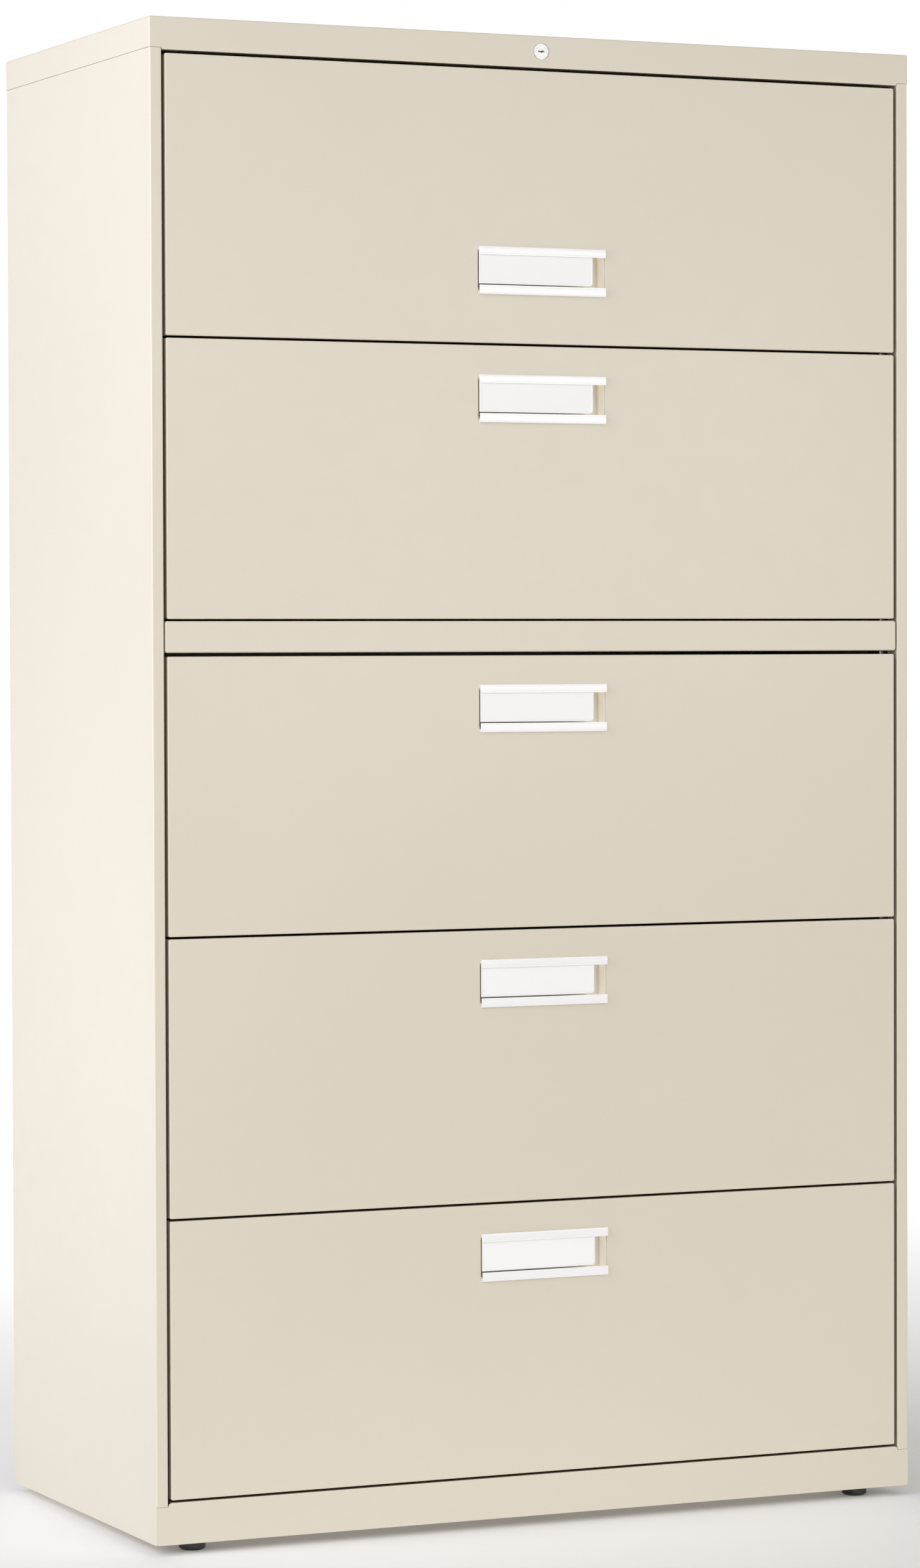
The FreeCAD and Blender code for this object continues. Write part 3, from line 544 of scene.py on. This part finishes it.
def bearings(body, middle_node, inner_node):
    """Balls in their cages, between the outer and middle members and the middle and inner ones.

    The outer set sits in the rear half and the inner set in the front half, so both stay
    between their members over the whole travel.
    """
    low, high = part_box(middle_node)
    half_high = (high.z - low.z) / 2
    middle_z = (high.z + low.z) / 2
    middle_y = (high.y + low.y) / 2
    inner_low, inner_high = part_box(inner_node)
    inner_half = (inner_high.z - inner_low.z) / 2
    face = high.x
    wall = 1.3 * MM
    end_room = 12 * MM
    rear = (middle_y + end_room, high.y - end_room)
    ahead = (low.y + end_room, middle_y - end_room)
    gap = 3.0 * MM if half_high > 15 * MM else 2.2 * MM
    inner_gap = half_high - wall - inner_half
    # x of the cage's web and lip, height of the balls, room for a ball, ends in y
    sets = [
        (face + 0.55 * MM, face - 5.2 * MM, half_high + gap / 2, gap, rear),
        (face - wall - 0.5 * MM, face - 6.6 * MM, inner_half + inner_gap / 2, inner_gap, ahead),
    ]
    play = 0.04 * MM
    cage_rise = 0.2 * MM
    cage_sheet = 0.4 * MM
    ball_in = 1.9 * MM
    count = 8
    cages = bmesh.new()
    balls = bmesh.new()
    for web, lip, reach, room, (start, end) in sets:
        along = Vector((0, end - start, 0))
        for side in (1, -1):
            section = rounded_loop(cage_section(web, lip, reach + cage_rise, cage_sheet), 3)
            prism(cages, [(side * u, start, middle_z + v) for u, v in section], along)
            for k in range(count):
                y = start + (k + 0.5) * (end - start) / count
                for z in (middle_z - reach, middle_z + reach):
                    ball(balls, Vector((side * (lip + ball_in), y, z)), room / 2 - play)
    piece(body + "_cages", cages, CAGE, body)
    piece(body + "_balls", balls, BALLS, body)


for holder in DRAWERS:
    bearings(holder + "_middle", holder + "_middle_slides", holder + "_inner_slides")
bearings("shelf_middle", "shelf_middle_slides", "shelf_inner_slides")


# ================================================================ glides
GLIDE_SIDES = 36
GLIDE_POINT = 16.0 * MM         # from the axis to a corner of the hexagon
GLIDE_ROUND = 15.4 * MM         # where those corners are turned off
GLIDE_SOLE = 11.8 * MM
GLIDE_FLARE = 1.08              # growth of the cone's radius with height
GLIDE_TALL = 10.9 * MM
COLLAR_TALL = 0.9 * MM
COLLAR_FOOT = 6.2 * MM
COLLAR_HEAD = 5.6 * MM
STEM_FOOT = 3.4 * MM
STEM_TIP = 2.9 * MM
TIP_TALL = 0.9 * MM


def glide_ring(along, inset):
    """Radii of the foot's outline: a hexagon trimmed by a cone towards the floor."""
    across = GLIDE_POINT * cos(pi / 6)
    cone = GLIDE_SOLE + along * GLIDE_FLARE
    radii = []
    for k in range(GLIDE_SIDES):
        angle = 2 * pi * k / GLIDE_SIDES
        hexagon = across / cos(angle % (pi / 3) - pi / 6)
        radii.append(min(hexagon, cone, GLIDE_ROUND) - inset)
    return radii


def thread_radii(along):
    """Radii of a right-hand thread with a flat crest at one height."""
    pitch = 1.25 * MM
    root = 3.35 * MM
    crest = 3.98 * MM
    steep = 1.25
    radii = []
    for k in range(GLIDE_SIDES):
        phase = (along / pitch - k / GLIDE_SIDES) % 1.0
        climb = min(1.0, steep * (1 - abs(2 * phase - 1)))
        radii.append(root + (crest - root) * climb)
    return radii


def threaded_glide(node):
    """Moulded hexagonal foot on a threaded stem."""
    low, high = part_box(node)
    centre = (low + high) / 2
    levels = [(0, 0.5), (0.15, 0.15), (0.5, 0), (1.2, 0), (2, 0), (2.8, 0), (3.6, 0), (4.4, 0)]
    levels += [(10.1, 0), (10.5, 0.12), (10.8, 0.45), (10.9, 0.9)]       # height and inset in mm
    rings = [(z * MM, glide_ring(z * MM, inset * MM)) for z, inset in levels]
    collar = GLIDE_TALL + COLLAR_TALL
    for along, radius in ((GLIDE_TALL, COLLAR_FOOT), (collar, COLLAR_HEAD), (collar, STEM_FOOT)):
        rings.append((along, [radius] * GLIDE_SIDES))
    start = collar + 0.1 * MM
    rise = high.z - TIP_TALL - start
    steps = 140
    for i in range(steps + 1):
        along = start + rise * i / steps
        rings.append((along, thread_radii(along)))
    rings.append((high.z, [STEM_TIP] * GLIDE_SIDES))
    bm = bmesh.new()
    loops = []
    for along, radii in rings:
        loop = []
        for k, radius in enumerate(radii):
            angle = 2 * pi * k / GLIDE_SIDES
            loop.append(bm.verts.new((centre.x + radius * cos(angle), centre.y + radius * sin(angle), along)))
        loops.append(loop)
    for lower, upper in zip(loops, loops[1:]):
        for k in range(GLIDE_SIDES):
            n = (k + 1) % GLIDE_SIDES
            bm.faces.new((lower[k], lower[n], upper[n], upper[k]))
    bm.faces.new(list(reversed(loops[0])))
    bm.faces.new(loops[-1])
    made = piece(node + "_threaded", bm, FINISHES["glide_plastic"], node, 28.0)
    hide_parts(node)


for corner in ("front_left", "front_right", "rear_left", "rear_right"):
    threaded_glide("glide_" + corner)


# ================================================================ rivets and bumpers of the trays
def dome(bm, base, axis, radius, rise):
    """Rivet head standing on a face at base."""
    rings = [(-0.2 * MM, 0), (-0.2 * MM, radius), (0, radius), (rise * 0.3, radius * 0.97)]
    rings += [(rise * 0.62, radius * 0.8), (rise * 0.88, radius * 0.45), (rise, 0)]
    lathe(bm, rings, base, axis, 20)


def tray_hardware(body, slide_node, places):
    """Rivets through the side walls into the slide members."""
    low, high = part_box(slide_node)
    web = 425.0 * MM                # from the middle to the side walls' outer faces
    height = (low.z + high.z) / 2
    heads = (
        (web - 0.9 * MM, -1, 4.2 * MM, 1.5 * MM),       # on the tray's wall
        (web + 1.3 * MM, 1, 3.4 * MM, 1.2 * MM),        # on the slide member
    )
    bm = bmesh.new()
    for side in (1, -1):
        for share in places:
            y = low.y + (high.y - low.y) * share
            for out, way, radius, rise in heads:
                dome(bm, Vector((side * out, y, height)), Vector((side * way, 0, 0)), radius, rise)
    piece(body + "_rivets", bm, FINISHES["zinc_steel"], body)


for holder in DRAWERS:
    tray_hardware(holder, holder + "_inner_slides", (0.06, 0.36, 0.66, 0.94))
tray_hardware("shelf", "shelf_inner_slides", (0.08, 0.5, 0.92))


def buffers(body, node):
    """Two rubber buffers on the back wall of a tray, dished round their screws."""
    low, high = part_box(node)
    half_apart = 300 * MM
    above_floor = 70 * MM
    rim = 5.0 * MM                  # folded rim that stands out behind the wall
    profile = [(-0.2, 0), (-0.2, 7.5), (2.4, 7.2), (3.4, 6.6), (3.8, 5.4), (3.8, 2.6), (1.6, 2.3), (1.6, 0)]
    rings = [(along * MM, radius * MM) for along, radius in profile]
    bm = bmesh.new()
    for side in (1, -1):
        spot = Vector((side * half_apart, high.y - rim, low.z + above_floor))
        lathe(bm, rings, spot, Vector((0, 1, 0)), 28)
    piece(body + "_buffers", bm, RUBBER, body)


for holder in DRAWERS:
    buffers(holder, holder + "_tray")


# ================================================================ stage, light, camera
def floor_finish():
    """Pale floor with a painted glow that grows behind the cabinet until it reads as white, so that its far
    edge is not seen; darker just in front of the cabinet.
    """
    finish = Finish("studio_floor", Roughness=0.6, Emission_Color=(1, 1, 1, 1))
    behind = finish.axis("Y")
    mottle = finish.noise(1.5, 3.0)
    pale = finish.mix(mottle, (0.89, 0.88, 0.87, 1), (0.92, 0.91, 0.90, 1))
    ahead = finish.mix(mottle, (0.76, 0.72, 0.67, 1), (0.79, 0.75, 0.70, 1))
    finish.colour(finish.mix(finish.spread(behind, -1.1, -0.35), ahead, pale))
    # Painted glow: faint near the cabinet, strong far behind it.
    finish.feed(finish.shader.inputs["Emission Strength"], finish.spread(behind, -0.2, 3.0, 0.10, 0.8))
    return finish.material


def stage_floor(reach):
    bm = bmesh.new()
    bmesh.ops.create_grid(bm, x_segments=8, y_segments=8, size=reach)
    data = bpy.data.meshes.new("studio_floor")
    bm.to_mesh(data)
    bm.free()
    data.materials.append(floor_finish())
    made = bpy.data.objects.new("studio_floor", data)
    bpy.context.scene.collection.objects.link(made)


def softbox(name, spot, aim, size, power, tint):
    """A rectangular soft light at spot, facing aim."""
    data = bpy.data.lights.new(name, "AREA")
    data.shape = "RECTANGLE"
    data.size = size[0]
    data.size_y = size[1]
    data.energy = power
    data.color = tint
    made = bpy.data.objects.new(name, data)
    made.location = spot
    made.rotation_euler = (Vector(aim) - Vector(spot)).to_track_quat("-Z", "Y").to_euler()
    bpy.context.scene.collection.objects.link(made)


def world_light(even, lobe_light, toward, backdrop):
    """Even light plus a wide soft lobe from one direction, before a plain white backdrop."""
    world = bpy.data.worlds.new("studio")
    bpy.context.scene.world = world
    world.use_nodes = True
    tree = world.node_tree
    nodes = tree.nodes
    way = nodes.new("ShaderNodeTexCoord")
    dot = nodes.new("ShaderNodeVectorMath")
    dot.operation = "DOT_PRODUCT"
    dot.inputs[1].default_value = Vector(toward).normalized()
    tree.links.new(way.outputs["Generated"], dot.inputs[0])
    lobe = nodes.new("ShaderNodeMapRange")
    lobe.interpolation_type = "SMOOTHSTEP"
    spans = {"From Min": 0.62, "From Max": 1.0, "To Min": even, "To Max": even + lobe_light}
    for socket, value in spans.items():
        lobe.inputs[socket].default_value = value
    tree.links.new(dot.outputs["Value"], lobe.inputs["Value"])
    lit = nodes["Background"]
    lit.inputs["Color"].default_value = (1.0, 0.99, 0.975, 1)
    tree.links.new(lobe.outputs[0], lit.inputs["Strength"])
    seen = nodes.new("ShaderNodeBackground")
    seen.inputs["Color"].default_value = (1, 1, 1, 1)
    seen.inputs["Strength"].default_value = backdrop
    pick = nodes.new("ShaderNodeMixShader")
    path = nodes.new("ShaderNodeLightPath")
    tree.links.new(path.outputs["Is Camera Ray"], pick.inputs[0])
    tree.links.new(lit.outputs[0], pick.inputs[1])
    tree.links.new(seen.outputs[0], pick.inputs[2])
    tree.links.new(pick.outputs[0], nodes["World Output"].inputs["Surface"])


def set_camera():
    data = bpy.data.cameras.new("camera")
    data.lens = LENS
    data.sensor_width = SENSOR
    data.clip_end = 100.0
    camera = bpy.data.objects.new("camera", data)
    bpy.context.scene.collection.objects.link(camera)
    ahead = Vector((sin(VIEW_YAW) * cos(VIEW_PITCH), cos(VIEW_YAW) * cos(VIEW_PITCH), sin(VIEW_PITCH)))
    right = Vector((cos(VIEW_YAW), -sin(VIEW_YAW), 0))
    up = right.cross(ahead)
    across = right * cos(VIEW_ROLL) + up * sin(VIEW_ROLL)
    above = up * cos(VIEW_ROLL) - right * sin(VIEW_ROLL)
    turn = Matrix((across, above, -ahead)).transposed()
    camera.matrix_world = Matrix.Translation(VIEW_FROM) @ turn.to_4x4()
    bpy.context.scene.camera = camera


stage_floor(40.0)
world_light(0.27, 1.04, (-0.16, -0.90, 0.38), 1.0)
softbox("key", (-2.7, -0.60, 1.8), (0, 0, 0.9), (1.8, 2.6), 60, (0.885, 0.895, 1.0))
softbox("fill", (0.9, -2.4, 1.25), (0, 0, 1.0), (1.4, 0.8), 8.5, (1.0, 0.985, 0.965))
set_camera()
bpy.context.scene.view_settings.view_transform = "Standard"
